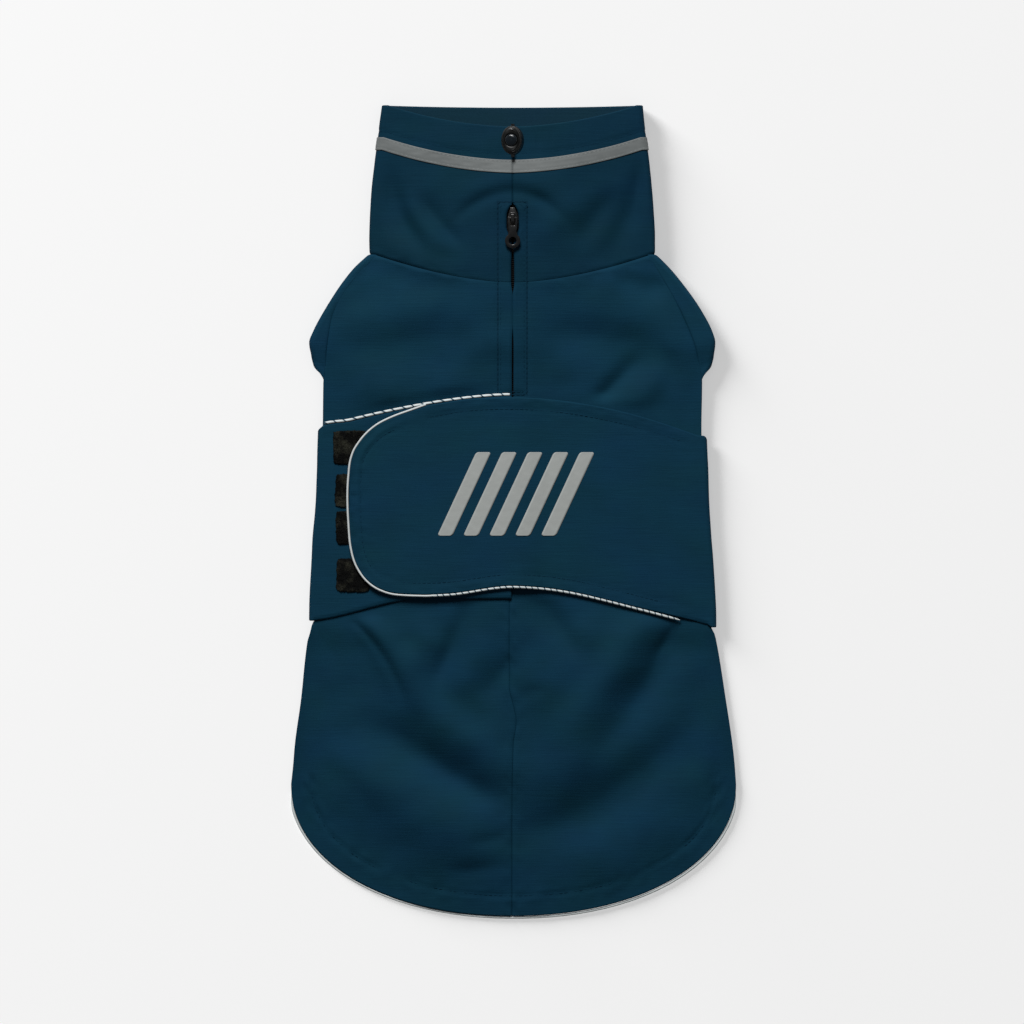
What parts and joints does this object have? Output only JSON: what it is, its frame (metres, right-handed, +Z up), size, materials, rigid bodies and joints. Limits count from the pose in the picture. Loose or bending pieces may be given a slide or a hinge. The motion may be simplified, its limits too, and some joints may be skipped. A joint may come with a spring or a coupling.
{
  "type": "dog raincoat",
  "caption": "Dog raincoat laid flat, back up: high collar with cord lock, lead zip, wrap-round belly band and rounded piped hem.",
  "frame": {"origin": "on the surface that the coat lies on, under the middle of its bounding box", "axes": "+X to the right seen from above, +Y from hem to collar along the back, +Z up"},
  "size_m": [0.2692, 0.4882, 0.0299],
  "materials": {
    "shell_cloth": "dark petrol blue coated cloth, matt with a faint sheen",
    "grey_trim": "light grey reflective tape and piping",
    "loop_cloth": "black fluffy loop cloth",
    "black_cloth": "black woven tape and cord",
    "black_metal": "black enamel on cast metal",
    "black_plastic": "black moulded plastic"
  },
  "bodies": {
    "coat": {"back_left": "shell_cloth", "back_right": "shell_cloth", "collar": "shell_cloth", "chest_panel": "shell_cloth", "belly_band": "shell_cloth", "collar_tape": "grey_trim", "hem_piping": "grey_trim", "right_wing_piping": "grey_trim", "left_wing_piping": "grey_trim", "loop_patch_upper": "loop_cloth", "loop_patch_upper_middle": "loop_cloth", "loop_patch_lower_middle": "loop_cloth", "loop_patch_lower": "loop_cloth", "zip_tape": "black_cloth", "zip_slider": "black_metal", "cord_lock": "black_plastic", "drawcord": "black_cloth"},
    "pull": {"zip_pull": "black_metal"},
    "button": {"cord_lock_button": "black_plastic"}
  },
  "joints": [
    {"name": "pull_swing", "type": "hinge", "parent": "coat", "child": "pull", "pos_m": [-0.0013, 0.17611, 0.02083], "axis": [-1, 0, 0], "range_deg": [0, 150]},
    {"name": "button_press", "type": "slide", "parent": "coat", "child": "button", "axis": [0.1392, 0, -0.9903], "range_m": [0, 0.0012], "stiffness_N_per_m": 300}
  ]
}
